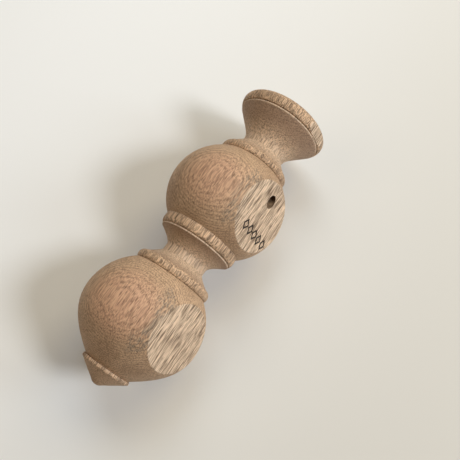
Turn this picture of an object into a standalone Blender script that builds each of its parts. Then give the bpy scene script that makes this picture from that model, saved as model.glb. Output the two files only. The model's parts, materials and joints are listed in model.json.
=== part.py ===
"""A turned hardwood wall figure in kokeshi proportions, built from glued, dowelled turnings.

The figure is a stack of five turnings on one axis: a blunt foot cone, an onion-shaped ball, a
waist spool, a second ball and a head disc. Round dowel pins hold each pair in line. One plane
cuts a flat on both balls and on the disc's rim, so that the figure can hang against a wall on a
slanted nail hole. It is modelled lying on its two balls, with the turning axis along +X.

Units are metres. Each turning is made about its own Z axis with its lower end at its origin.
"""

import math

import bmesh
import bpy
from mathutils import Matrix, Vector

# ---------------------------------------------------------------- driving dimensions
# Foot cone
FOOT_RADIUS = 0.0142            # outside of the thin edge band
FOOT_TIP_RADIUS = 0.0020        # where the blunt tip rounds over
FOOT_CONE_HEIGHT = 0.0080       # from the tip to the edge band
FOOT_BAND_HEIGHT = 0.0019

# Lower ball
LOWER_BALL_RADIUS = 0.0337
LOWER_BALL_HALF_HEIGHT = 0.0330  # above its centre the ball is a little flatter than a sphere
LOWER_BALL_DROP = 0.0291        # from the ball's centre down to its foot seat
LOWER_BALL_FOOT_RADIUS = 0.0133

# Waist spool
LOWER_COLLAR_RADIUS = 0.0222
LOWER_BEAD_HEIGHT = 0.0046
WAIST_NECK_START = 0.0106       # where the slope above the bead has reached the neck
WAIST_NECK_RADIUS = 0.0127
WAIST_NECK_LENGTH = 0.0034
FLANGE_RADIUS = 0.0228
FLANGE_RIM_HEIGHT = 0.0063
WAIST_HEIGHT = 0.0283

# Upper ball
UPPER_BALL_RADIUS = 0.0333
UPPER_BALL_HALF_HEIGHT = 0.0312

# Head disc
UPPER_COLLAR_RADIUS = 0.0208
UPPER_BEAD_HEIGHT = 0.0044
HEAD_NECK_START = 0.0108
HEAD_NECK_RADIUS = 0.0130
HEAD_NECK_LENGTH = 0.0012
DISC_RADIUS = 0.0270
DISC_RIM_HEIGHT = 0.0084
DISC_CROWN = 0.0018             # rise of the slightly domed top
DISC_EDGE_ROUND = 0.0030        # how far the rim has come in at its top edge
HEAD_HEIGHT = 0.03845

# Turned details
SEAT_SETBACK = 0.0007           # a collar's seat is this much smaller than its bead
FILLET_STEP = 0.0005            # crisp step where a flare meets a rim band

# Dowel pins
DOWEL_RADIUS = 0.0050
DOWEL_CHAMFER = 0.0008
NECK_DOWEL_LENGTH = 0.036
WAIST_SOCKET_WEB = 0.0033       # solid wood left between the spool's two sockets
FOOT_DOWEL_RADIUS = 0.0030
FOOT_DOWEL_LENGTH = 0.0115
FOOT_DOWEL_IN_CONE = 0.0045

# Flat and nail hole
FLAT_OFFSET = 0.0259            # from the axis to the flat, beside the upper ball's centre
FLAT_TILT = math.radians(1.0)   # the flat leans in towards the disc
FLAT_ROLL = math.radians(60.0)  # turn from straight up to the flats' side, about the axis
NAIL_HOLE_RADIUS = 0.00275
NAIL_HOLE_RISE = 0.0105         # from the upper ball's centre up to the hole's mouth
NAIL_HOLE_DEPTH = 0.013
NAIL_HOLE_SLANT = math.radians(38.0)

# Fits
GLUE_GAP = 0.0003               # between neighbouring turnings and round each dowel
DOWEL_END_CLEARANCE = 0.001     # room for glue at a socket's bottom

# Fineness
TURNING_STEPS = 48
DOWEL_STEPS = 16

WOOD = (0.47, 0.33, 0.22)
DOWEL_WOOD = (0.66, 0.50, 0.34)


# ---------------------------------------------------------------- outlines
def bezier(start, first_handle, second_handle, end, count):
    """Points on a cubic curve after its start, ending on its end."""
    points = []
    for index in range(1, count + 1):
        t = index / count
        s = 1.0 - t
        weights = (s ** 3, 3 * s * s * t, 3 * s * t * t, t ** 3)
        corners = (start, first_handle, second_handle, end)
        points.append(tuple(sum(w * c[k] for w, c in zip(weights, corners)) for k in (0, 1)))
    return points


def ellipse_arc(centre_height, radius, half_height, start_height, end_height, count):
    """Points up the side of a ball after its start height, evenly spaced in angle."""
    start_angle = math.asin(max(-1.0, (start_height - centre_height) / half_height))
    end_angle = math.asin(min(1.0, (end_height - centre_height) / half_height))
    points = []
    for index in range(1, count + 1):
        angle = start_angle + (end_angle - start_angle) * index / count
        points.append((radius * math.cos(angle), centre_height + half_height * math.sin(angle)))
    return points


def socket_down(top, radius, depth):
    """The end of an outline: from a top face's edge in to a blind dowel socket and the axis."""
    return [(radius, top), (radius, top - depth), (0.0, top - depth)]


def socket_up(radius, depth):
    """The start of an outline: from the axis out of a blind socket in the bottom face."""
    return [(0.0, depth), (radius, depth), (radius, 0.0)]


def collar(radius, bead_height, neck_radius, neck_start, neck_length, hollow):
    """A half-round bead on its seat, a small fillet above it, a slope and a straight neck.

    The slope is straight at a hollow of 0.3, and a larger share draws it in towards the neck.
    """
    seat = (radius - SEAT_SETBACK, 0.0)
    bead_top = (radius - 0.30 * bead_height, bead_height)
    fillet = (bead_top[0] - FILLET_STEP, bead_height + 0.2 * FILLET_STEP)
    neck = (neck_radius, neck_start)
    reach = fillet[0] - neck_radius
    rise = neck_start - fillet[1]
    points = [seat]
    points += bezier(seat, (radius + 0.4 * SEAT_SETBACK, 0.25 * bead_height),
                     (radius + 0.3 * SEAT_SETBACK, 0.72 * bead_height), bead_top, 4)
    points += [fillet]
    points += bezier(fillet, (fillet[0] - hollow * reach, fillet[1] + 0.30 * rise),
                     (neck_radius + 0.20 * reach, neck_start - 0.27 * rise), neck, 4)
    points += [(neck_radius, neck_start + neck_length)]
    return points


def flare(neck, rim, hold, spread, climb, count):
    """The concave sweep from a neck point out to the foot of a rim band.

    The sweep holds the neck's radius for a share of its rise, and its second handle stands at
    the given shares of the reach outwards (spread) and of the rise (climb).
    """
    reach = rim[0] - neck[0]
    rise = rim[1] - neck[1]
    return bezier(neck, (neck[0], neck[1] + hold * rise),
                  (neck[0] + spread * reach, neck[1] + climb * rise), rim, count)


# ---------------------------------------------------------------- objects
def wood_material(name, colour, roughness):
    material = bpy.data.materials.new(name)
    material.use_nodes = True
    shader = material.node_tree.nodes["Principled BSDF"]
    shader.inputs["Base Color"].default_value = (*colour, 1.0)
    shader.inputs["Roughness"].default_value = roughness
    shader.inputs["Metallic"].default_value = 0.0
    return material


def turned(name, outline, height, steps, parent, colour=WOOD, roughness=0.6):
    """Spin an outline of (radius, height) points, axis to axis, into one closed solid."""
    bm = bmesh.new()
    start = Matrix.Rotation(math.pi / steps, 3, "Z")
    verts = [bm.verts.new(start @ Vector((radius, 0.0, z))) for radius, z in outline]
    edges = [bm.edges.new(pair) for pair in zip(verts, verts[1:])]
    bmesh.ops.spin(bm, geom=verts + edges, cent=(0, 0, 0), axis=(0, 0, 1),
                   angle=math.tau, steps=steps, use_merge=True)
    bmesh.ops.remove_doubles(bm, verts=bm.verts, dist=0.000001)
    bmesh.ops.recalc_face_normals(bm, faces=bm.faces)
    mesh = bpy.data.meshes.new(name)
    bm.to_mesh(mesh)
    bm.free()
    mesh.shade_smooth()
    mesh.set_sharp_from_angle(angle=math.radians(30.0))
    mesh.materials.append(wood_material(name + "_wood", colour, roughness))
    piece = bpy.data.objects.new(name, mesh)
    bpy.context.collection.objects.link(piece)
    piece.parent = parent
    piece.location = (0.0, 0.0, height)
    return piece


def cut_flat(piece, plane_point, plane_normal):
    """Plane off everything outside the wall plane and close the cut with one flat face."""
    local_point = Vector(plane_point) - Vector(piece.location)
    bm = bmesh.new()
    bm.from_mesh(piece.data)
    geom = bm.verts[:] + bm.edges[:] + bm.faces[:]
    cut = bmesh.ops.bisect_plane(bm, geom=geom, dist=0.000001, plane_co=local_point,
                                 plane_no=plane_normal, clear_outer=True)
    rim = [item for item in cut["geom_cut"] if isinstance(item, bmesh.types.BMEdge)]
    if rim:
        bmesh.ops.contextual_create(bm, geom=rim)
    bmesh.ops.recalc_face_normals(bm, faces=bm.faces)
    bm.to_mesh(piece.data)
    bm.free()
    piece.data.set_sharp_from_angle(angle=math.radians(30.0))


def dowel(name, radius, length, height, parent):
    """A round pin with chamfered ends, set with its lower end at a height on the axis."""
    outline = [(0.0, 0.0), (radius - DOWEL_CHAMFER, 0.0), (radius, DOWEL_CHAMFER),
               (radius, length - DOWEL_CHAMFER), (radius - DOWEL_CHAMFER, length), (0.0, length)]
    return turned(name, outline, height, DOWEL_STEPS, parent, DOWEL_WOOD, 0.7)


# ---------------------------------------------------------------- heights on the axis
def ball_rise(seat_radius, radius, half_height):
    """Height from a ball's centre to where its side has come in to a seat's radius."""
    return half_height * math.sqrt(1.0 - (seat_radius / radius) ** 2)


socket_radius = (DOWEL_RADIUS + GLUE_GAP) / math.cos(math.pi / DOWEL_STEPS)
foot_socket_radius = (FOOT_DOWEL_RADIUS + GLUE_GAP) / math.cos(math.pi / DOWEL_STEPS)
neck_socket_depth = NECK_DOWEL_LENGTH / 2 + DOWEL_END_CLEARANCE
waist_socket_depth = (WAIST_HEIGHT - WAIST_SOCKET_WEB) / 2
waist_dowel_length = 2 * (waist_socket_depth - DOWEL_END_CLEARANCE)
foot_socket_in_cone = FOOT_DOWEL_IN_CONE + DOWEL_END_CLEARANCE
foot_socket_in_ball = FOOT_DOWEL_LENGTH - FOOT_DOWEL_IN_CONE + DOWEL_END_CLEARANCE

foot_height = FOOT_CONE_HEIGHT + FOOT_BAND_HEIGHT
lower_ball_base = foot_height + GLUE_GAP
lower_seat_radius = LOWER_COLLAR_RADIUS - SEAT_SETBACK
lower_seat_rise = ball_rise(lower_seat_radius, LOWER_BALL_RADIUS, LOWER_BALL_HALF_HEIGHT)
lower_ball_height = LOWER_BALL_DROP + lower_seat_rise
waist_base = lower_ball_base + lower_ball_height + GLUE_GAP

upper_seat_radius = UPPER_COLLAR_RADIUS - SEAT_SETBACK
flange_seat_radius = FLANGE_RADIUS - SEAT_SETBACK / 2
upper_ball_base = waist_base + WAIST_HEIGHT + GLUE_GAP
upper_ball_drop = ball_rise(flange_seat_radius, UPPER_BALL_RADIUS, UPPER_BALL_HALF_HEIGHT)
upper_seat_rise = ball_rise(upper_seat_radius, UPPER_BALL_RADIUS, UPPER_BALL_HALF_HEIGHT)
upper_ball_height = upper_ball_drop + upper_seat_rise
head_base = upper_ball_base + upper_ball_height + GLUE_GAP
lower_ball_centre = lower_ball_base + LOWER_BALL_DROP
upper_ball_centre = upper_ball_base + upper_ball_drop


# ---------------------------------------------------------------- outlines of the five turnings
def foot_outline():
    tip_height = 0.4 * FOOT_TIP_RADIUS
    outline = [(0.0, 0.0), (0.5 * FOOT_TIP_RADIUS, 0.3 * tip_height), (FOOT_TIP_RADIUS, tip_height)]
    cone_edge = (FOOT_RADIUS - 2 * FILLET_STEP, FOOT_CONE_HEIGHT - 0.4 * FILLET_STEP)
    middle = (0.55 * cone_edge[0] + 0.45 * FOOT_TIP_RADIUS, 0.48 * cone_edge[1] + 0.52 * tip_height)
    outline += [middle, cone_edge]
    outline += [(FOOT_RADIUS - FILLET_STEP, FOOT_CONE_HEIGHT), (FOOT_RADIUS, foot_height - FILLET_STEP)]
    outline += [(FOOT_RADIUS - 0.6 * FILLET_STEP, foot_height)]
    return outline + socket_down(foot_height, foot_socket_radius, foot_socket_in_cone)


def lower_ball_outline():
    seat = (LOWER_BALL_FOOT_RADIUS, 0.0)
    belly = (LOWER_BALL_RADIUS, LOWER_BALL_DROP)
    outline = socket_up(foot_socket_radius, foot_socket_in_ball) + [seat]
    outline += bezier(seat, (seat[0] + 0.0103, 0.0072), (belly[0], 0.53 * belly[1]), belly, 8)
    outline += ellipse_arc(LOWER_BALL_DROP, LOWER_BALL_RADIUS, LOWER_BALL_HALF_HEIGHT,
                           LOWER_BALL_DROP, lower_ball_height, 8)
    return outline + socket_down(lower_ball_height, socket_radius, waist_socket_depth)


def waist_outline():
    rim_base = WAIST_HEIGHT - FLANGE_RIM_HEIGHT
    flare_radius = FLANGE_RADIUS - 3 * FILLET_STEP
    outline = socket_up(socket_radius, waist_socket_depth)
    outline += collar(LOWER_COLLAR_RADIUS, LOWER_BEAD_HEIGHT, WAIST_NECK_RADIUS,
                      WAIST_NECK_START, WAIST_NECK_LENGTH, 0.42)
    outline += flare(outline[-1], (flare_radius, rim_base), 0.33, 0.56, 0.71, 6)
    outline += [(flare_radius, rim_base + FILLET_STEP)]
    outline += [(flare_radius + FILLET_STEP, rim_base + 1.6 * FILLET_STEP)]
    outline += [(FLANGE_RADIUS - 0.25 * FILLET_STEP, rim_base + 0.36 * FLANGE_RIM_HEIGHT)]
    outline += [(FLANGE_RADIUS, rim_base + 0.62 * FLANGE_RIM_HEIGHT)]
    outline += [(flange_seat_radius, WAIST_HEIGHT)]
    return outline + socket_down(WAIST_HEIGHT, socket_radius, waist_socket_depth)


def upper_ball_outline():
    outline = socket_up(socket_radius, waist_socket_depth) + [(flange_seat_radius, 0.0)]
    outline += ellipse_arc(upper_ball_drop, UPPER_BALL_RADIUS, UPPER_BALL_HALF_HEIGHT,
                           0.0, upper_ball_drop, 7)
    outline += ellipse_arc(upper_ball_drop, UPPER_BALL_RADIUS, UPPER_BALL_HALF_HEIGHT,
                           upper_ball_drop, upper_ball_height, 7)
    return outline + socket_down(upper_ball_height, socket_radius, neck_socket_depth)


def head_outline():
    rim_top = HEAD_HEIGHT - DISC_CROWN
    rim_base = rim_top - DISC_RIM_HEIGHT
    flare_radius = DISC_RADIUS - 3.6 * FILLET_STEP
    outline = socket_up(socket_radius, neck_socket_depth)
    outline += collar(UPPER_COLLAR_RADIUS, UPPER_BEAD_HEIGHT, HEAD_NECK_RADIUS,
                      HEAD_NECK_START, HEAD_NECK_LENGTH, 0.30)
    outline += flare(outline[-1], (flare_radius, rim_base), 0.28, 0.28, 0.43, 7)
    outline += [(flare_radius, rim_base + FILLET_STEP)]
    outline += [(flare_radius + 1.2 * FILLET_STEP, rim_base + 1.6 * FILLET_STEP)]
    rim_foot = outline[-1]
    outline += bezier(rim_foot, (DISC_RADIUS + 0.0004, rim_base + 0.42 * DISC_RIM_HEIGHT),
                      (DISC_RADIUS + 0.0003, rim_base + 0.78 * DISC_RIM_HEIGHT),
                      (DISC_RADIUS - DISC_EDGE_ROUND, rim_top), 4)
    outline += [(0.62 * DISC_RADIUS, rim_top + 0.62 * DISC_CROWN), (0.0, HEAD_HEIGHT)]
    return outline


# ---------------------------------------------------------------- assembly
for leftover in list(bpy.data.objects):
    bpy.data.objects.remove(leftover)

# The turnings' common axis is the Z axis of one empty, which lays the figure on its two balls:
# local X turns up to the sky and local Z runs along +X, dipping to the smaller ball. A facet of
# each ball faces down, so the height of the axis is measured to a facet and not to a corner.
facet_share = math.cos(math.pi / TURNING_STEPS)
ball_spacing = upper_ball_centre - lower_ball_centre
dip = math.asin((LOWER_BALL_RADIUS - UPPER_BALL_RADIUS) * facet_share / ball_spacing)
lying = bpy.data.objects.new("lying_axis", None)
bpy.context.collection.objects.link(lying)
total_length = head_base + HEAD_HEIGHT
axis_height = (LOWER_BALL_RADIUS * facet_share + lower_ball_centre * math.sin(dip)) / math.cos(dip)
lay_down = Matrix(((0.0, 0.0, 1.0), (0.0, -1.0, 0.0), (1.0, 0.0, 0.0)))
lay_down = Matrix.Rotation(dip, 3, "Y") @ lay_down
lying.rotation_mode = "QUATERNION"
lying.rotation_quaternion = lay_down.to_quaternion()
lying.location = (-total_length / 2, 0.0, axis_height)

foot_cone = turned("foot_cone", foot_outline(), 0.0, TURNING_STEPS, lying)
lower_ball = turned("lower_ball", lower_ball_outline(), lower_ball_base, TURNING_STEPS, lying)
waist_spool = turned("waist_spool", waist_outline(), waist_base, TURNING_STEPS, lying)
upper_ball = turned("upper_ball", upper_ball_outline(), upper_ball_base, TURNING_STEPS, lying)
head_disc = turned("head_disc", head_outline(), head_base, TURNING_STEPS, lying)

dowel("foot_dowel", FOOT_DOWEL_RADIUS, FOOT_DOWEL_LENGTH, foot_height - FOOT_DOWEL_IN_CONE, lying)
for dowel_name, seam, length in (("lower_waist_dowel", waist_base, waist_dowel_length),
                                 ("upper_waist_dowel", upper_ball_base, waist_dowel_length),
                                 ("neck_dowel", head_base, NECK_DOWEL_LENGTH)):
    dowel(dowel_name, DOWEL_RADIUS, length, seam - (GLUE_GAP + length) / 2, lying)

# One plane cuts the flats. It stands off the axis by FLAT_OFFSET beside the upper ball's centre
# and comes nearer to the axis towards the disc.
flat_side = Vector((math.cos(FLAT_ROLL), math.sin(FLAT_ROLL), 0.0))
flat_point = FLAT_OFFSET * flat_side + Vector((0.0, 0.0, upper_ball_centre))
flat_normal = math.cos(FLAT_TILT) * flat_side + Vector((0.0, 0.0, math.sin(FLAT_TILT)))
for planed in (lower_ball, upper_ball, head_disc):
    cut_flat(planed, flat_point, flat_normal)

# The nail hole runs inwards and up, so the figure's weight pulls it down onto the nail.
mouth = flat_point + NAIL_HOLE_RISE * Vector((0.0, 0.0, 1.0))
bore = -math.cos(NAIL_HOLE_SLANT) * flat_side + Vector((0.0, 0.0, math.sin(NAIL_HOLE_SLANT)))
overshoot = 4 * NAIL_HOLE_RADIUS
bm = bmesh.new()
bmesh.ops.create_cone(bm, cap_ends=True, cap_tris=False, segments=20, radius1=NAIL_HOLE_RADIUS,
                      radius2=NAIL_HOLE_RADIUS, depth=NAIL_HOLE_DEPTH + overshoot)
drill_mesh = bpy.data.meshes.new("nail_hole_drill")
bm.to_mesh(drill_mesh)
bm.free()
drill = bpy.data.objects.new("nail_hole_drill", drill_mesh)
bpy.context.collection.objects.link(drill)
drill.parent = lying
drill.rotation_mode = "QUATERNION"
drill.rotation_quaternion = bore.to_track_quat("Z", "Y")
drill.location = mouth + (NAIL_HOLE_DEPTH - overshoot) / 2 * bore
drill.hide_render = True
drill.display_type = "WIRE"
nail_hole = upper_ball.modifiers.new("nail_hole", "BOOLEAN")
nail_hole.operation = "DIFFERENCE"
nail_hole.solver = "EXACT"
nail_hole.object = drill

# The origin is the middle of the bottom of the whole figure's box: the flats make the two sides
# unequal, so the figure is measured and its empty moved by what is missing.
bpy.context.view_layer.update()
corners = [piece.matrix_world @ vert.co
           for piece in (foot_cone, lower_ball, waist_spool, upper_ball, head_disc)
           for vert in piece.data.vertices]
lowest = [min(corner[axis] for corner in corners) for axis in range(3)]
highest = [max(corner[axis] for corner in corners) for axis in range(3)]
lying.location.x -= (lowest[0] + highest[0]) / 2
lying.location.y -= (lowest[1] + highest[1]) / 2
lying.location.z -= lowest[2]
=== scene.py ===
# %% [markdown]
# # A turned kokeshi figure that hangs on a wall
# Real kokeshi are turned from hardwood on a lathe. This one is a stack of five turnings on one
# axis: a blunt foot, an onion-shaped ball, a waist spool, a second ball and a wide head disc.
# Both balls and the disc's rim are planed flat on one side, so that the figure can lie against
# a wall, and a slanted hole takes the nail. It is lying on its two balls here.
#
# The sizes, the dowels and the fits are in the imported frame. This lesson makes the surfaces:
# finer turnings with crisp tool edges, a flat with sanded edges, a burned maker's pattern, and
# open-pored wood that runs through all five turnings as it does in one bar.

import json
import math

import bmesh
import bpy
from mathutils import Matrix, Vector


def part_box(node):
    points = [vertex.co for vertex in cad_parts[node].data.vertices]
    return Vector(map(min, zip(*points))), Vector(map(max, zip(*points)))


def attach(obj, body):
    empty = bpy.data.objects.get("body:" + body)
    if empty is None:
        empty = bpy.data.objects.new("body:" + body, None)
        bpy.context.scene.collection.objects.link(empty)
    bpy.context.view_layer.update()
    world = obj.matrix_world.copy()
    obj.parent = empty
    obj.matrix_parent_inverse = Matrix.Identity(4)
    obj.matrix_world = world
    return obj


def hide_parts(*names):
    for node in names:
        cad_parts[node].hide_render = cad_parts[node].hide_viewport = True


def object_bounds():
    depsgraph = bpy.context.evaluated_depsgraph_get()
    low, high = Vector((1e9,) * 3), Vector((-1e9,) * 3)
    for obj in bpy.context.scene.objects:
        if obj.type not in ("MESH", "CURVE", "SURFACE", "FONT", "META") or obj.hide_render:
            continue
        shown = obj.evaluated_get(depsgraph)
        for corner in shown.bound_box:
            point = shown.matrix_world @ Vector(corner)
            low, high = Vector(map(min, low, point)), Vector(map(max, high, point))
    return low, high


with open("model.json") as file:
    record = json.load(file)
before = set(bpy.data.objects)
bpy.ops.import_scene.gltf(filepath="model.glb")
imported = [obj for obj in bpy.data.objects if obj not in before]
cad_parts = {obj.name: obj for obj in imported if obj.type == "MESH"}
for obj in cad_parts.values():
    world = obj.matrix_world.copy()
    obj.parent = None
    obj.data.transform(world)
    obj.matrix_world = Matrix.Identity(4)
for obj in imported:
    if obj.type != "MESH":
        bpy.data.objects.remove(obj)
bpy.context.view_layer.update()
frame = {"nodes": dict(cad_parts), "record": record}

# %% [markdown]
# ## Camera
# The figure is seen from above and a little from the foot's end, turned so that it runs from
# the lower left to the upper right. The lens is a normal one, neither wide nor long, about a
# third of a metre above the table. A camera can be aimed with a tracking constraint, but plain
# angles keep the horizon level and are easy to check.

# %% Place the camera
camera_data = bpy.data.cameras.new("camera")
camera_data.sensor_width = 36.0
camera_data.lens = 46.96            # in mm, for a sensor 36 mm wide
camera = bpy.data.objects.new("camera", camera_data)
camera.location = (-0.06223, -0.06336, 0.34543)
camera.rotation_euler = (math.radians(16.675), 0.0, math.radians(-55.797))
bpy.context.scene.collection.objects.link(camera)
bpy.context.scene.camera = camera
print("camera is", round(camera.location.z, 3), "m above the table")

# %% [markdown]
# ## The lathe's axis
# All five pieces turn about one line. The dowels lie on it, so the middles of two dowels' boxes
# give its direction, and the foot's tip gives its start. Each piece is then turned upright about
# Z, the easy way to think of a lathe, and one matrix lays it down in its place.

# %% Find the lathe's axis
def box_middle(node):
    low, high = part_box(node)
    return (low + high) / 2


waist_middle = box_middle("lower_waist_dowel")
along_axis = (box_middle("neck_dowel") - waist_middle).normalized()
up_side = (Vector((0, 0, 1)) - along_axis.z * along_axis).normalized()
left_side = along_axis.cross(up_side)
lathe_to_frame = Matrix((up_side, left_side, along_axis)).transposed().to_4x4()
tip_vertex = min(frame["nodes"]["foot_cone"].data.vertices, key=lambda v: v.co.dot(along_axis))
tip_reach = (tip_vertex.co - waist_middle).dot(along_axis)
lathe_to_frame.translation = waist_middle + tip_reach * along_axis
frame_to_lathe = lathe_to_frame.inverted()
print("axis dips by", round(math.degrees(-along_axis.z), 2), "degrees towards the head")


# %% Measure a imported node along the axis
def measure(node):
    """A node's lowest and highest place on the lathe's axis, and its greatest radius."""
    points = [frame_to_lathe @ vertex.co for vertex in frame["nodes"][node].data.vertices]
    heights = [point.z for point in points]
    return min(heights), max(heights), max(point.xy.length for point in points)


foot_top, foot_radius = measure("foot_cone")[1:]
lower_base, lower_top, lower_radius = measure("lower_ball")
waist_base, waist_top, flange_radius = measure("waist_spool")
upper_base, upper_top, upper_radius = measure("upper_ball")
head_base, head_top, disc_radius = measure("head_disc")
seam_gap = lower_base - foot_top
print("figure is", round(1000 * head_top, 1), "mm long; seams are", round(1000 * seam_gap, 2), "mm")


# %% [markdown]
# ## Outlines
# A turner cuts beads, coves and fillets. Here an outline is a list of (radius, height) points,
# and each cut adds its points to it: `curve` is a cubic curve for a cove or a bead, and `ball`
# is the round side of a ball. Blind dowel sockets are part of the outline too, because they are
# drilled on the lathe before the piece is parted off. The frame leaves a wide glue gap between
# neighbours, and a glued joint is a hairline, so each seat reaches a little way into the gap.

# %% Cuts that an outline is made of
def curve(outline, first_handle, second_handle, end, count):
    """Continue an outline on a cubic curve to its end point."""
    start = outline[-1]
    for index in range(1, count + 1):
        t = index / count
        s = 1.0 - t
        weights = (s ** 3, 3 * s * s * t, 3 * s * t * t, t ** 3)
        corners = (start, first_handle, second_handle, end)
        outline.append(tuple(sum(w * c[k] for w, c in zip(weights, corners)) for k in (0, 1)))


def ball(outline, centre_height, radius, half_height, end_radius, count):
    """Continue an outline up the side of a ball, from its own last height to an end radius."""
    start = math.asin(max(-1.0, (outline[-1][1] - centre_height) / half_height))
    end = math.acos(end_radius / radius)
    for index in range(1, count + 1):
        angle = start + (end - start) * index / count
        outline.append((radius * math.cos(angle), centre_height + half_height * math.sin(angle)))


SEAM = 0.00005       # what is left to see of the glue gap between two turnings
seat_low = (SEAM - seam_gap) / 2


def socket_up(radius, depth):
    """A blind dowel socket in the bottom face, from the axis out to its mouth."""
    return [(0.0, depth), (radius, depth), (radius, seat_low)]


def socket_down(top, radius, depth):
    """A blind dowel socket in the top face, from its mouth in to the axis."""
    return [(radius, top - seat_low), (radius, top - depth), (0.0, top - depth)]


# %% Dowel sockets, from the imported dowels
GLUE_ROOM = 0.0004   # round each dowel
END_ROOM = 0.001     # at the bottom of each socket
foot_dowel = measure("foot_dowel")
lower_dowel = measure("lower_waist_dowel")
neck_dowel = measure("neck_dowel")
foot_socket = (foot_dowel[2] + GLUE_ROOM, foot_top - foot_dowel[0] + END_ROOM)
foot_ball_socket = (foot_dowel[2] + GLUE_ROOM, foot_dowel[1] - lower_base + END_ROOM)
waist_socket = (lower_dowel[2] + GLUE_ROOM, lower_dowel[1] - waist_base + END_ROOM)
neck_socket = (neck_dowel[2] + GLUE_ROOM, neck_dowel[1] - head_base + END_ROOM)
print("neck socket is", round(1000 * neck_socket[1], 1), "mm deep")


# %% [markdown]
# ## Turning a piece
# `bmesh.ops.spin` sweeps the outline round the axis in one full turn. With `use_merge` the last
# step is joined to the first. A Screw modifier could do the same, but a bmesh can be cut and
# bevelled straight away. Corners sharper than `SHARP` get a tiny bevel, because a tool edge is
# never perfectly sharp, and the bevel is what catches a thin line of light.

# %% Turn an outline into a closed solid
TURNING_STEPS = 192
SHARP = math.radians(32.0)
TOOL_EDGE = 0.00012


def turn(outline, base):
    bm = bmesh.new()
    half_step = Matrix.Rotation(math.pi / TURNING_STEPS, 3, "Z")
    verts = [bm.verts.new(half_step @ Vector((radius, 0.0, base + height)))
             for radius, height in outline]
    edges = [bm.edges.new(pair) for pair in zip(verts, verts[1:])]
    bmesh.ops.spin(bm, geom=verts + edges, cent=(0, 0, 0), axis=(0, 0, 1),
                   angle=math.tau, steps=TURNING_STEPS, use_merge=True)
    bmesh.ops.remove_doubles(bm, verts=bm.verts, dist=0.000001)
    bmesh.ops.recalc_face_normals(bm, faces=bm.faces)
    corners = [edge for edge in bm.edges
               if len(edge.link_faces) == 2 and edge.calc_face_angle() > SHARP]
    bmesh.ops.bevel(bm, geom=corners, offset=TOOL_EDGE, offset_type="OFFSET", affect="EDGES",
                    segments=2, profile=0.5, material=-1, clamp_overlap=True)
    return bm


# %% Lay a turned piece down in its place
def lay_down(name, bm, *materials):
    bmesh.ops.transform(bm, matrix=lathe_to_frame, verts=bm.verts)
    mesh = bpy.data.meshes.new(name)
    bm.to_mesh(mesh)
    bm.free()
    mesh.shade_smooth()
    mesh.set_sharp_from_angle(angle=SHARP)
    for material in materials:
        mesh.materials.append(material)
    piece = bpy.data.objects.new(name, mesh)
    bpy.context.scene.collection.objects.link(piece)
    return piece


# %% [markdown]
# ## The wall flat
# On the real figure the flats are planed or sanded after turning, all in one stroke. Cutting
# the mesh with a plane would leave a knife edge. Here every point that stands outside the wall
# plane is pressed back onto it instead, with a soft blend at the edge. A few cuts with
# `bisect_plane` just inside and outside the edge first give the blend enough points to bend on.

# %% Press a piece onto the wall plane
mounts = {mount["name"]: mount for mount in frame["record"]["mounts"]}
flat_point = frame_to_lathe @ Vector(mounts["upper_wall_flat"]["pos_m"])
flat_normal = (frame_to_lathe.to_3x3() @ Vector(mounts["upper_wall_flat"]["axis"])).normalized()
SANDED_EDGE = 0.00009                # how softly the flat meets the round side
EDGE_CUTS = (-5, -3, -1.6, -0.6, 0.4, 1.4, 2.6, 4.5)     # in sanded edges from the plane
BLEND_REACH = 12                     # the same measure, inside the plane


def press_flat(bm):
    for ring in EDGE_CUTS:
        bmesh.ops.bisect_plane(bm, geom=bm.verts[:] + bm.edges[:] + bm.faces[:], dist=0.000001,
                               plane_co=flat_point + ring * SANDED_EDGE * flat_normal,
                               plane_no=flat_normal)
    for vert in bm.verts:
        outside = (vert.co - flat_point).dot(flat_normal) / SANDED_EDGE
        if outside > -BLEND_REACH:
            blended = -math.log1p(math.exp(-outside))
            vert.co += (blended - outside) * SANDED_EDGE * flat_normal


print("the flat leans", round(math.degrees(math.asin(flat_normal.z)), 2), "degrees to the axis")

# %% [markdown]
# ## Materials
# The wood is one solid material in three dimensions, as if the five pieces came from one bar.
# It reads Object coordinates, which are the frame's own metres, and a Mapping node turns them so
# that X runs along the grain and Z points away from the tree's middle. Growth rings are then
# shells round a far middle line: where the surface lies along a shell they show as ovals, and
# where it cuts across them they show as straight lines. Pores are long thin cells along X, so
# they are dashes on a side face and dots on an end face, with no extra work. The sanded flats
# are paler and more open and the rims are worn. Painted shade darkens the waist's and head's
# wood far from the axis, under the flares, and painted highlights brighten the fillets at the
# flares' ends. The nail hole's walls are a darker copy of the wood, which is painted shade. An
# image texture would stretch round the balls and show its seams.

# %% Small helpers for node trees
def add_node(tree, kind, inputs=None, **settings):
    node = tree.nodes.new(kind)
    for name, value in settings.items():
        setattr(node, name, value)
    for socket, value in (inputs or {}).items():
        if isinstance(value, bpy.types.NodeSocket):
            tree.links.new(value, node.inputs[socket])
        else:
            node.inputs[socket].default_value = value
    return node


def maths(tree, operation, first, second=0.0, third=0.0):
    node = add_node(tree, "ShaderNodeMath", {0: first, 1: second, 2: third}, operation=operation)
    return node.outputs[0]


def smooth_between(tree, value, low, high):
    """0 below low, 1 above high and a soft step between them."""
    node = add_node(tree, "ShaderNodeMapRange", {"Value": value, "From Min": low, "From Max": high},
                    interpolation_type="SMOOTHSTEP")
    return node.outputs["Result"]


def stretched_noise(tree, grain, stretch, scale, detail=1.0):
    """Noise with its cells drawn out along the grain; scale is in cells per millimetre."""
    squeezed = add_node(tree, "ShaderNodeMapping", {"Vector": grain, "Scale": (1 / stretch, 1, 1)})
    return add_node(tree, "ShaderNodeTexNoise",
                    {"Vector": squeezed.outputs["Vector"], "Scale": scale, "Detail": detail,
                     "Roughness": 0.5}).outputs["Fac"]


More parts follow.
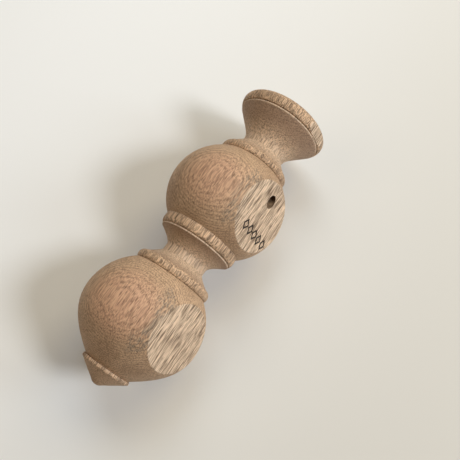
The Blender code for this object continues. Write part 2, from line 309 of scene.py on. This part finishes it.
def mix_colour(tree, share, first, second):
    """Sockets 6 and 7 of a Mix node are its two colours, and its output 2 is the mixed one."""
    node = add_node(tree, "ShaderNodeMix", {"Factor": share, 6: first, 7: second},
                    data_type="RGBA")
    return node.outputs[2]


# %% Where the grain runs
HEART_SIDE = math.radians(11.5)      # the tree's outside lies this far from straight up
HEART_DISTANCE = 85.0                # from the lathe's axis to the tree's middle, in mm
RING_WIDTH = 1.15                    # in mm


def grain_coordinates(tree):
    """Millimetres along the grain (X), across it (Y) and away from the tree's middle (Z)."""
    place = add_node(tree, "ShaderNodeTexCoord").outputs["Object"]
    axis_turned = Matrix.Rotation(HEART_SIDE, 3, "X") @ waist_middle
    return add_node(tree, "ShaderNodeMapping",
                    {"Vector": place, "Rotation": (HEART_SIDE, 0.0, 0.0),
                     "Location": -1000 * axis_turned,
                     "Scale": (1000, 1000, 1000)}).outputs["Vector"]


# %% Growth rings
WAVE_DEPTH = 4.0                     # how far a ring strays from a true circle, in mm


def ring_distance(tree, grain):
    """Distance from the tree's middle, in mm, with the slow waves that real rings have."""
    wave_place = add_node(tree, "ShaderNodeMapping", {"Vector": grain, "Scale": (0.35, 1, 1)})
    wave = add_node(tree, "ShaderNodeTexNoise",
                    {"Vector": wave_place.outputs["Vector"], "Scale": 0.045, "Detail": 3.0,
                     "Roughness": 0.55})
    centred = add_node(tree, "ShaderNodeVectorMath",
                       {0: wave.outputs["Color"], 1: (0.5, 0.5, 0.5)}, operation="SUBTRACT")
    stray = add_node(tree, "ShaderNodeVectorMath",
                     {0: centred.outputs[0], 1: (WAVE_DEPTH,) * 3, 2: grain},
                     operation="MULTIPLY_ADD")
    parts = add_node(tree, "ShaderNodeSeparateXYZ", {0: stray.outputs[0]})
    depth = maths(tree, "ADD", parts.outputs["Z"], HEART_DISTANCE)
    side = parts.outputs["Y"]
    side_squared = maths(tree, "MULTIPLY", side, side)
    distance = maths(tree, "SQRT", maths(tree, "MULTIPLY_ADD", depth, depth, side_squared))
    return maths(tree, "SUBTRACT", distance, HEART_DISTANCE), side


# %% Lighter and darker tones of a colour
RING_TONE = 0.72
BRIGHT_TONE = 1.30
SHADED_TONE = 0.45


def ring_tone(colour):
    return tuple(RING_TONE * part for part in colour[:3]) + (1.0,)


def bright(colour):
    return tuple(min(1.0, BRIGHT_TONE * part) for part in colour[:3]) + (1.0,)


def shaded(colour):
    return tuple(SHADED_TONE * part for part in colour[:3]) + (1.0,)


# %% Masks for the zones of the wood
def band(tree, value, low, high, soft):
    """1 between low and high, and 0 a soft step outside them."""
    rise = smooth_between(tree, value, low - soft, low)
    fall = smooth_between(tree, value, high, high + soft)
    return maths(tree, "SUBTRACT", rise, fall)


def inverse(tree, value):
    return maths(tree, "SUBTRACT", 1.0, value)


def share_of(tree, mask, share):
    return maths(tree, "MULTIPLY", mask, share)


FLAT_FADE = (0.00025, 0.00008)       # how far inside the wall plane the sanding begins and ends


def on_flat(tree):
    """1 on the sanded wall flats and 0 on every turned surface."""
    place = add_node(tree, "ShaderNodeTexCoord").outputs["Object"]
    wall_point = Vector(mounts["upper_wall_flat"]["pos_m"])
    wall_normal = Vector(mounts["upper_wall_flat"]["axis"]).normalized()
    outside = add_node(tree, "ShaderNodeVectorMath", {0: place, 1: wall_normal},
                       operation="DOT_PRODUCT").outputs["Value"]
    reach = wall_point.dot(wall_normal)
    return smooth_between(tree, outside, reach - FLAT_FADE[0], reach - FLAT_FADE[1])


# %% The hardwood
OUTER_WOOD = (26.0, 34.0)            # where the rosy outer wood begins and is full, in mm
PALE_BAND = (20.5, 24.0)             # the pale band down the flats
GREY_BAND = (25.5, 30.5)             # the weathered lines beside the flats
WALL_SIDE = (-15.0, -11.0)           # across the grain, where the wall's side ends
FLARE_SHADE_REACH = (14.0, 21.0)                # from the axis: the painted shade under a flare begins and is full
FLAT_CONTRAST = 0.88                 # how strong the dashes are on a sanded flat
PORE_DEPTH = 0.00014                 # in metres


def make_wood(name, pale, tan, rosy, dark, sanded, openness=0.40, paleness=0.0, flare_shade=0.0):
    """One hardwood finish: how open and how pale it is, and how much painted shade darkens it far
    from the axis.
    """
    material = bpy.data.materials.new(name)
    material.use_nodes = True
    tree = material.node_tree
    shader = tree.nodes["Principled BSDF"]
    grain = grain_coordinates(tree)
    distance, side = ring_distance(tree, grain)

    # Each ring begins with a loose, open-pored band and ends dense and smooth.
    phase = maths(tree, "FRACT", maths(tree, "DIVIDE", distance, RING_WIDTH))
    early = band(tree, phase, 0.15, 0.40, 0.15)

    # Fibres lie along the grain in fine dashes, in broader stripes and in slow clouds of tone.
    dash = stretched_noise(tree, grain, 22.0, 2.2)
    stripe = stretched_noise(tree, grain, 40.0, 0.9)
    cloud = stretched_noise(tree, grain, 3.0, 0.06, 2.0)
    light_dash = smooth_between(tree, dash, 0.50, 0.59)
    dark_dash = inverse(tree, smooth_between(tree, dash, 0.39, 0.49))
    dark_stripe = smooth_between(tree, stripe, 0.52, 0.64)

    # Pores are long cells, dark where the noise peaks, with more of them in the early band.
    pore_field = stretched_noise(tree, grain, 8.0, 1.9)
    pore_level = maths(tree, "MULTIPLY_ADD", early, 0.10, pore_field)
    pores = smooth_between(tree, pore_level, 0.60, 0.69)

    colour = mix_colour(tree, smooth_between(tree, cloud, 0.35, 0.70), pale, tan)
    colour = mix_colour(tree, share_of(tree, early, 0.40), colour, ring_tone(tan))
    outermost = smooth_between(tree, distance, *OUTER_WOOD)
    colour = mix_colour(tree, share_of(tree, outermost, 0.85), colour, rosy)
    flat = on_flat(tree)
    colour = mix_colour(tree, maths(tree, "MULTIPLY_ADD", flat, 0.80, paleness), colour, sanded)

    # A pale band runs down the wall flats. Weathered grey lines run along their upper edge.
    pale_band = maths(tree, "MULTIPLY", flat, band(tree, distance, *PALE_BAND, 1.0))
    colour = mix_colour(tree, share_of(tree, pale_band, 0.75), colour, bright(sanded))
    wall_side = inverse(tree, smooth_between(tree, side, *WALL_SIDE))
    grey_band = maths(tree, "MULTIPLY", wall_side, band(tree, distance, *GREY_BAND, 1.0))
    weather = stretched_noise(tree, grain, 60.0, 1.1)
    grey_line = maths(tree, "MULTIPLY_ADD", smooth_between(tree, weather, 0.47, 0.53), 0.92, 0.06)
    colour = mix_colour(tree, maths(tree, "MULTIPLY", grey_band, grey_line), colour, shaded(sanded))

    # Sanding opens the fibres, so the dashes are stronger on the flats.
    contrast = maths(tree, "MULTIPLY_ADD", flat, FLAT_CONTRAST - openness, openness)
    light_tone = mix_colour(tree, flat, bright(pale), bright(sanded))
    colour = mix_colour(tree, maths(tree, "MULTIPLY", light_dash, contrast), colour, light_tone)
    colour = mix_colour(tree, maths(tree, "MULTIPLY", dark_dash, contrast), colour, dark)
    faint = maths(tree, "MULTIPLY", contrast, 0.30)
    colour = mix_colour(tree, maths(tree, "MULTIPLY", dark_stripe, faint), colour, dark)
    if flare_shade:
        # Painted shade: wood far from the axis, under a flare, is darkened towards a shaded rosy
        # tone.
        cross = add_node(tree, "ShaderNodeVectorMath", {0: grain, 1: (0.0, 1.0, 1.0)},
                         operation="MULTIPLY").outputs[0]
        from_axis = add_node(tree, "ShaderNodeVectorMath", {0: cross},
                             operation="LENGTH").outputs["Value"]
        hollow = smooth_between(tree, from_axis, *FLARE_SHADE_REACH)
        colour = mix_colour(tree, share_of(tree, hollow, flare_shade), colour, shaded(rosy))
    colour = mix_colour(tree, share_of(tree, pores, 0.45), colour, shaded(dark))
    tree.links.new(colour, shader.inputs["Base Color"])

    roughness = maths(tree, "MULTIPLY_ADD", pores, 0.22, 0.55)
    tree.links.new(maths(tree, "MULTIPLY_ADD", dash, 0.12, roughness), shader.inputs["Roughness"])
    shader.inputs["Specular IOR Level"].default_value = 0.35
    relief = maths(tree, "SUBTRACT", maths(tree, "MULTIPLY", light_dash, 0.45), pores)
    relief = maths(tree, "MULTIPLY_ADD", stripe, 0.30, relief)
    bump = add_node(tree, "ShaderNodeBump",
                    {"Height": relief, "Strength": 0.7, "Distance": PORE_DEPTH})
    tree.links.new(bump.outputs["Normal"], shader.inputs["Normal"])
    return material


WOOD_TONES = {"pale": (0.590, 0.395, 0.245, 1.0), "tan": (0.440, 0.280, 0.165, 1.0),
              "rosy": (0.610, 0.350, 0.225, 1.0), "dark": (0.175, 0.110, 0.065, 1.0),
              "sanded": (0.660, 0.495, 0.350, 1.0)}
turned_wood = make_wood("turned_hardwood", **WOOD_TONES)
# The waist and head are paler, and painted shade darkens them under their flares.
spool_wood = make_wood("pale_turned_hardwood", **WOOD_TONES, openness=0.55, paleness=0.80,
                       flare_shade=0.50)
rim_wood = make_wood("worn_rim_hardwood", **WOOD_TONES, openness=0.85, paleness=0.20)
# The fillets get a paler copy of the wood, which is a painted highlight.
edge_highlight_wood = make_wood("painted_highlight_hardwood", **WOOD_TONES, openness=0.30, paleness=1.0)
print("wood material has", len(turned_wood.node_tree.nodes), "nodes")

# %% Give the worn rims their own finish, and the fillets a painted highlight
def wear_rim(piece, low, high, least_radius, slot=1):
    """Put a piece's second or third material on the outer faces between two heights."""
    for polygon in piece.data.polygons:
        place = frame_to_lathe @ polygon.center
        if low < place.z < high and place.xy.length > least_radius:
            polygon.material_index = slot


# %% The char of the burned pattern
burned = bpy.data.materials.new("burned_wood")
burned.use_nodes = True
burned_shader = burned.node_tree.nodes["Principled BSDF"]
burned_shader.inputs["Base Color"].default_value = (0.014, 0.009, 0.006, 1.0)
burned_shader.inputs["Roughness"].default_value = 0.8

# %% [markdown]
# ## The foot
# The blunt cone is the figure's chin or foot. A thin band stands out at its edge.

# %% Turn the foot
FILLET = 0.0005
BAND_HEIGHT = 0.0019
TIP_RADIUS = 0.0020


def foot_outline():
    cone_height = foot_top - BAND_HEIGHT
    edge = (foot_radius - 2 * FILLET, cone_height - 0.4 * FILLET)
    outline = [(0.0, 0.0)]
    curve(outline, (1.2 * TIP_RADIUS, 0.0), (1.5 * TIP_RADIUS, 0.14 * cone_height),
          (0.30 * foot_radius, 0.24 * cone_height), 6)
    curve(outline, (0.50 * foot_radius, 0.45 * cone_height), (0.78 * foot_radius, 0.80 * cone_height),
          edge, 8)
    outline.append((foot_radius - FILLET, cone_height))
    curve(outline, (foot_radius - 0.2 * FILLET, cone_height + 0.2 * BAND_HEIGHT),
          (foot_radius, cone_height + 0.6 * BAND_HEIGHT), (foot_radius - 0.6 * FILLET, foot_top), 5)
    return outline + socket_down(foot_top, *foot_socket)


turned_foot = lay_down("turned_foot", turn(foot_outline(), 0.0), turned_wood, rim_wood)
wear_rim(turned_foot, foot_top - BAND_HEIGHT - FILLET, foot_top, 0.9 * foot_radius)
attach(turned_foot, "root")
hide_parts("foot_cone")
print("foot has", len(turned_foot.data.polygons), "faces")

# %% [markdown]
# ## The lower ball
# Above its middle it is a little flatter than a sphere, and below it is drawn out like an onion.

# %% Turn the lower ball
LOWER_HALF_HEIGHT = 0.0330
LOWER_DROP = 0.0291
LOWER_FOOT_RADIUS = 0.0133
BALL_ROWS = 40


def lower_ball_outline():
    outline = socket_up(*foot_ball_socket)
    outline += [(LOWER_FOOT_RADIUS, seat_low), (LOWER_FOOT_RADIUS, 0.0)]
    curve(outline, (LOWER_FOOT_RADIUS + 0.0103, 0.0072), (lower_radius, 0.53 * LOWER_DROP),
          (lower_radius, LOWER_DROP), BALL_ROWS)
    top = lower_top - lower_base
    rise = (top - LOWER_DROP) / LOWER_HALF_HEIGHT
    seat_radius = lower_radius * math.sqrt(1 - rise * rise)
    ball(outline, LOWER_DROP, lower_radius, LOWER_HALF_HEIGHT, seat_radius, BALL_ROWS)
    return outline + socket_down(top, *waist_socket)


lower_bm = turn(lower_ball_outline(), lower_base)
press_flat(lower_bm)
turned_lower_ball = lay_down("turned_lower_ball", lower_bm, turned_wood)
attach(turned_lower_ball, "root")
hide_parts("lower_ball")
print("lower ball has", len(turned_lower_ball.data.polygons), "faces")

# %% [markdown]
# ## The waist spool
# A half-round bead sits on the ball, a cove narrows to the neck, and a flange carries the upper
# ball. A small square step, the fillet, and a fine groove part the cove from the flange's rim.

# %% Beads, coves and fillets
SEAT_SETBACK = 0.0007
FILLET_BAND = 0.0007
GROOVE_DEPTH = 0.0003
GROOVE_WIDTH = 0.0002


def collar(outline, radius, bead_height, neck, hollow):
    """A half-round bead on its seat, a small fillet above it, and a slope into the neck."""
    bead_top = (radius - 0.30 * bead_height, bead_height)
    fillet = (bead_top[0] - FILLET, bead_height + 0.2 * FILLET)
    reach = fillet[0] - neck[0]
    rise = neck[1] - fillet[1]
    outline.append((radius - SEAT_SETBACK, seat_low))
    curve(outline, (radius + 0.4 * SEAT_SETBACK, 0.25 * bead_height),
          (radius + 0.3 * SEAT_SETBACK, 0.72 * bead_height), bead_top, 14)
    outline.append(fillet)
    curve(outline, (fillet[0] - hollow * reach, fillet[1] + 0.30 * rise),
          (neck[0] + 0.20 * reach, neck[1] - 0.27 * rise), neck, 14)


def flare(outline, rim, hold, spread, climb):
    """A cove that holds the neck's radius for a share of its rise, then sweeps out to a rim."""
    neck = outline[-1]
    reach = rim[0] - neck[0]
    rise = rim[1] - neck[1]
    curve(outline, (neck[0], neck[1] + hold * rise),
          (neck[0] + spread * reach, neck[1] + climb * rise), rim, 24)


def fillet_and_groove(outline, step):
    """A thin band at the cove's end, which gets a painted highlight, and a dark groove between it and
    the rim.
    """
    radius, height = outline[-1]
    outline.append((radius, height + FILLET_BAND))
    outline.append((radius - GROOVE_DEPTH, height + FILLET_BAND + GROOVE_WIDTH))
    outline.append((radius + step, height + FILLET_BAND + 1.6 * GROOVE_WIDTH))


# %% Turn the waist spool
LOWER_COLLAR_RADIUS = 0.0222
LOWER_BEAD_HEIGHT = 0.0046
WAIST_NECK = (0.0127, 0.0106)        # radius, and how far up the slope reaches it
WAIST_NECK_LENGTH = 0.0034
FLANGE_RIM_HEIGHT = 0.0063


def waist_outline():
    height = waist_top - waist_base
    rim_base = height - FLANGE_RIM_HEIGHT
    outline = socket_up(*waist_socket)
    collar(outline, LOWER_COLLAR_RADIUS, LOWER_BEAD_HEIGHT, WAIST_NECK, 0.42)
    outline.append((WAIST_NECK[0], WAIST_NECK[1] + WAIST_NECK_LENGTH))
    flare(outline, (flange_radius - 3 * FILLET, rim_base), 0.33, 0.56, 0.71)
    fillet_and_groove(outline, FILLET)
    curve(outline, (flange_radius - 0.2 * FILLET, rim_base + 0.30 * FLANGE_RIM_HEIGHT),
          (flange_radius + 0.3 * FILLET, rim_base + 0.62 * FLANGE_RIM_HEIGHT),
          (flange_radius - SEAT_SETBACK / 2, height - seat_low), 10)
    return outline + socket_down(height, *waist_socket)


turned_waist = lay_down("turned_waist", turn(waist_outline(), waist_base), spool_wood, rim_wood,
                        edge_highlight_wood)
wear_rim(turned_waist, waist_base, waist_base + LOWER_BEAD_HEIGHT, 0.85 * LOWER_COLLAR_RADIUS)
wear_rim(turned_waist, waist_top - FLANGE_RIM_HEIGHT, waist_top, 0.90 * flange_radius)
# The flange's fillet gets the pale edge finish, a painted highlight.
flange_fillet = waist_top - FLANGE_RIM_HEIGHT
wear_rim(turned_waist, flange_fillet - TOOL_EDGE, flange_fillet + FILLET_BAND,
         0.90 * flange_radius, slot=2)
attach(turned_waist, "root")
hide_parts("waist_spool")
print("waist has", len(turned_waist.data.polygons), "faces")

# %% [markdown]
# ## The upper ball
# It is turned and flattened like the lower one. The nail hole is drilled into the flat, slanting
# up towards the head, so that the figure's weight pulls it down onto the nail. A pattern is
# burned into the flat below the hole with a hot stamp.

# %% Turn the upper ball
UPPER_HALF_HEIGHT = 0.0312


def upper_ball_outline():
    seat_radius = flange_radius - SEAT_SETBACK / 2
    drop = UPPER_HALF_HEIGHT * math.sqrt(1 - (seat_radius / upper_radius) ** 2)
    top = upper_top - upper_base
    rise = (top - drop) / UPPER_HALF_HEIGHT
    outline = socket_up(*waist_socket) + [(seat_radius, seat_low), (seat_radius, 0.0)]
    ball(outline, drop, upper_radius, UPPER_HALF_HEIGHT, upper_radius * math.sqrt(1 - rise * rise),
         2 * BALL_ROWS)
    return outline + socket_down(top, *neck_socket)


upper_bm = turn(upper_ball_outline(), upper_base)
press_flat(upper_bm)
turned_upper_ball = lay_down("turned_upper_ball", upper_bm, turned_wood)
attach(turned_upper_ball, "root")
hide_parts("upper_ball")
print("upper ball has", len(turned_upper_ball.data.polygons), "faces")


# %% Cut one solid out of another
def carve(piece, bm, name, material):
    """Cut a closed cutter, given in lathe coordinates, out of a piece."""
    cutter = lay_down(name, bm, material)
    cut = piece.modifiers.new(name, "BOOLEAN")
    cut.operation = "DIFFERENCE"
    cut.solver = "EXACT"
    cut.material_mode = "TRANSFER"
    cut.object = cutter
    evaluated = piece.evaluated_get(bpy.context.evaluated_depsgraph_get())
    carved = bpy.data.meshes.new_from_object(evaluated)
    piece.modifiers.clear()
    piece.data = carved
    bpy.data.objects.remove(cutter)
    piece.data.set_sharp_from_angle(angle=SHARP)


# %% Drill the nail hole
hole_mouth = frame_to_lathe @ Vector(mounts["nail_hole"]["pos_m"])
hole_out = (frame_to_lathe.to_3x3() @ Vector(mounts["nail_hole"]["axis"])).normalized()
HOLE_RADIUS = 0.00275
HOLE_DEPTH = 0.013
MOUTH_WEAR = 0.0005                  # how much wider nails have worn the mouth
WEAR_DEPTH = 0.003
worn_radius = HOLE_RADIUS + MOUTH_WEAR
drill_outline = [(0.0, -HOLE_DEPTH), (HOLE_RADIUS, -HOLE_DEPTH), (HOLE_RADIUS, -WEAR_DEPTH),
                 (HOLE_RADIUS + 0.3 * MOUTH_WEAR, -WEAR_DEPTH / 2), (worn_radius, 0.0005),
                 (worn_radius, HOLE_DEPTH), (0.0, HOLE_DEPTH)]
drill_bm = turn(drill_outline, 0.0)
drill_place = Matrix.Translation(hole_mouth) @ hole_out.to_track_quat("Z", "Y").to_matrix().to_4x4()
bmesh.ops.transform(drill_bm, matrix=drill_place, verts=drill_bm.verts)
# Painted shade: the nail hole's walls get a copy of the wood at under half its tones.
hole_shade_tones = {name: shaded(tone) for name, tone in WOOD_TONES.items()}
hole_shade_wood = make_wood("shaded_hole_hardwood", **hole_shade_tones, openness=0.30)
turned_upper_ball.data.materials.append(hole_shade_wood)
carve(turned_upper_ball, drill_bm, "nail_drill", hole_shade_wood)
print("nail hole is", 2000 * HOLE_RADIUS, "mm wide")

# %% Burn a row of diamonds across the flat
MARK_COUNT = 5
MARK_LENGTH = 0.0265
MARK_HEIGHT = 0.0070
MARK_LINE = 0.0009
MARK_SPACE = 0.0003
MARK_DEPTH = 0.00025
MARK_SIDEWAYS = -0.0035              # both from the point that gives the flat's place
MARK_DOWN = 0.0090
across = flat_normal.cross(Vector((0, 0, 1))).normalized()
down_flat = flat_normal.cross(across)
mark_middle = flat_point + MARK_SIDEWAYS * across + MARK_DOWN * down_flat
width = MARK_LENGTH / MARK_COUNT
size = (0.5 * (width - MARK_SPACE), 0.5 * MARK_HEIGHT, 1.0)
mark_bm = bmesh.new()
for index in range(MARK_COUNT):
    made = bmesh.ops.create_circle(mark_bm, cap_ends=True, segments=4, radius=1.0)
    diamond = made["verts"][0].link_faces[0]
    bmesh.ops.scale(mark_bm, vec=size, verts=made["verts"])
    offset = (index - (MARK_COUNT - 1) / 2) * width
    bmesh.ops.translate(mark_bm, vec=(offset, 0.0, -MARK_DEPTH), verts=made["verts"])
    mark_bm.normal_update()
    bmesh.ops.inset_region(mark_bm, faces=[diamond], thickness=MARK_LINE, use_boundary=True,
                           use_even_offset=True)
    bmesh.ops.delete(mark_bm, geom=[diamond], context="FACES_ONLY")
lifted = bmesh.ops.extrude_face_region(mark_bm, geom=mark_bm.faces[:])
lifted_verts = [item for item in lifted["geom"] if isinstance(item, bmesh.types.BMVert)]
bmesh.ops.translate(mark_bm, vec=(0.0, 0.0, 4 * MARK_DEPTH), verts=lifted_verts)
mark_place = Matrix((across, down_flat, flat_normal)).transposed().to_4x4()
mark_place.translation = mark_middle
bmesh.ops.transform(mark_bm, matrix=mark_place, verts=mark_bm.verts)
bmesh.ops.recalc_face_normals(mark_bm, faces=mark_bm.faces)
turned_upper_ball.data.materials.append(burned)
carve(turned_upper_ball, mark_bm, "hot_stamp", burned)
burned_slot = turned_upper_ball.data.materials.find(burned.name)
stamped = sum(polygon.material_index == burned_slot for polygon in turned_upper_ball.data.polygons)
print("upper ball has", len(turned_upper_ball.data.polygons), "faces;", stamped, "are burned")

# %% [markdown]
# ## The head
# A bead sits on the upper ball, and a long cove flares out to the wide, slightly domed disc.

# %% Turn the head
UPPER_COLLAR_RADIUS = 0.0208
UPPER_BEAD_HEIGHT = 0.0044
HEAD_NECK = (0.0130, 0.0108)
HEAD_NECK_LENGTH = 0.0012
DISC_CROWN = 0.0018
DISC_RIM = 0.0084
DISC_EDGE_ROUND = 0.0030


def head_outline():
    height = head_top - head_base
    rim_top = height - DISC_CROWN
    rim_base = rim_top - DISC_RIM
    outline = socket_up(*neck_socket)
    collar(outline, UPPER_COLLAR_RADIUS, UPPER_BEAD_HEIGHT, HEAD_NECK, 0.30)
    outline.append((HEAD_NECK[0], HEAD_NECK[1] + HEAD_NECK_LENGTH))
    flare(outline, (disc_radius - 3.6 * FILLET, rim_base), 0.28, 0.28, 0.43)
    fillet_and_groove(outline, 1.2 * FILLET)
    curve(outline, (disc_radius + 0.0004, rim_base + 0.42 * DISC_RIM),
          (disc_radius + 0.0003, rim_base + 0.78 * DISC_RIM),
          (disc_radius - DISC_EDGE_ROUND, rim_top), 14)
    curve(outline, (disc_radius - 1.5 * DISC_EDGE_ROUND, rim_top + 0.2 * DISC_CROWN),
          (0.5 * disc_radius, height), (0.0, height), 12)
    return outline


head_bm = turn(head_outline(), head_base)
press_flat(head_bm)
turned_head = lay_down("turned_head", head_bm, spool_wood, rim_wood, edge_highlight_wood)
wear_rim(turned_head, head_base, head_base + UPPER_BEAD_HEIGHT, 0.85 * UPPER_COLLAR_RADIUS)
wear_rim(turned_head, head_top - DISC_CROWN - DISC_RIM, head_top - DISC_CROWN, 0.90 * disc_radius)
# The disc's fillet gets the pale edge finish, a painted highlight.
disc_fillet = head_top - DISC_CROWN - DISC_RIM
wear_rim(turned_head, disc_fillet - TOOL_EDGE, disc_fillet + FILLET_BAND,
         0.90 * disc_radius, slot=2)
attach(turned_head, "root")
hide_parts("head_disc")
print("head has", len(turned_head.data.polygons), "faces")

# %% [markdown]
# ## The dowels
# The dowels stay as the frame has them. They are out of sight in their sockets, but whoever
# takes the figure apart finds plain birch pins.

# %% Give the dowels their wood
dowel_wood = make_wood("dowel_birch", pale=(0.640, 0.500, 0.340, 1.0),
                       tan=(0.560, 0.420, 0.270, 1.0), rosy=(0.600, 0.450, 0.300, 1.0),
                       dark=(0.400, 0.290, 0.180, 1.0), sanded=(0.680, 0.540, 0.380, 1.0))
for dowel_name in ("foot_dowel", "lower_waist_dowel", "upper_waist_dowel", "neck_dowel"):
    dowel = frame["nodes"][dowel_name]
    dowel.data.materials.clear()
    dowel.data.materials.append(dowel_wood)

# %% [markdown]
# ## Table and light
# A plain pale table in a bright room. Its paint runs from a dim warm beige on its -Y side to a
# pale white on its +Y side, a painted falloff of light across the table. One lamp can't do
# what a room does, so five broad round lights share the work: a window gives the long soft
# shadows, a low window under it models the flats, a sky window and a warm lamp light the head's
# end, and a weak back wall opens the shadows. Bounced light in a room is warm, so the world is a
# dim warm brown. A low camera would see that brown behind the table's edge, so rays that come
# straight from the camera meet a pale wall instead, which lights nothing.

# %% Lay the table
table_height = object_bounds()[0].z
TABLE_SIZE = 2.0
SHADE_REACH = 0.20                   # the +Y side is paler, over this distance each way
table_bm = bmesh.new()
bmesh.ops.create_grid(table_bm, x_segments=1, y_segments=1, size=TABLE_SIZE)
bmesh.ops.translate(table_bm, vec=(0.0, 0.0, table_height), verts=table_bm.verts)
table_mesh = bpy.data.meshes.new("table")
table_bm.to_mesh(table_mesh)
table_bm.free()
table = bpy.data.objects.new("table", table_mesh)
bpy.context.scene.collection.objects.link(table)
table_paint = bpy.data.materials.new("pale_table")
table_paint.use_nodes = True
table_tree = table_paint.node_tree
table_place = add_node(table_tree, "ShaderNodeTexCoord").outputs["Object"]
table_parts = add_node(table_tree, "ShaderNodeSeparateXYZ", {0: table_place})
# Painted light: the table's colour is dimmer and warmer on the -Y side and paler on the +Y side.
table_light_falloff = smooth_between(table_tree, table_parts.outputs["Y"], -SHADE_REACH, SHADE_REACH)
near_tone = (0.66, 0.640, 0.585, 1.0)
far_tone = (0.93, 0.945, 0.945, 1.0)
table_colour = mix_colour(table_tree, table_light_falloff, near_tone, far_tone)
table_shader = table_tree.nodes["Principled BSDF"]
table_tree.links.new(table_colour, table_shader.inputs["Base Color"])
table_shader.inputs["Roughness"].default_value = 0.7
table_mesh.materials.append(table_paint)


# %% Set the lights
LIGHT_DISTANCE = 1.6
AIM_HEIGHT = 0.03                    # about the middle of the lying figure


def area_light(name, bearing, height, size, power, colour):
    """A round soft light; bearing and height are degrees round and up from the figure."""
    data = bpy.data.lights.new(name, "AREA")
    data.shape = "DISK"
    data.size = size
    data.energy = power
    data.color = colour
    light = bpy.data.objects.new(name, data)
    turn_round = Matrix.Rotation(math.radians(bearing), 3, "Z")
    towards = turn_round @ Matrix.Rotation(math.radians(-height), 3, "Y") @ Vector((1, 0, 0))
    light.location = LIGHT_DISTANCE * towards + Vector((0.0, 0.0, AIM_HEIGHT))
    light.rotation_euler = (-towards).to_track_quat("-Z", "Y").to_euler()
    bpy.context.scene.collection.objects.link(light)


area_light("window", -75, 45, 0.46, 12.8, (0.92, 0.95, 1.00))
area_light("sky_window", 34, 50, 0.9, 8.6, (0.82, 0.91, 1.00))
area_light("lamp", -11, 45, 0.9, 6.8, (1.00, 0.84, 0.55))
area_light("low_window", -58, 27, 0.6, 6.0, (0.80, 0.90, 1.00))
area_light("back_wall", 124, 50, 0.9, 2.9, (1.00, 0.82, 0.56))
world = bpy.data.worlds.new("room")
world.use_nodes = True
room_light = world.node_tree.nodes["Background"]
room_light.inputs["Color"].default_value = (0.100, 0.068, 0.036, 1.0)
room_wall = add_node(world.node_tree, "ShaderNodeBackground", {"Color": (0.76, 0.76, 0.74, 1.0)})
seen_directly = add_node(world.node_tree, "ShaderNodeLightPath").outputs["Is Camera Ray"]
room = add_node(world.node_tree, "ShaderNodeMixShader",
                {0: seen_directly, 1: room_light.outputs[0], 2: room_wall.outputs[0]})
world.node_tree.links.new(room.outputs[0], world.node_tree.nodes["World Output"].inputs["Surface"])
bpy.context.scene.world = world
bpy.context.scene.view_settings.view_transform = "Standard"
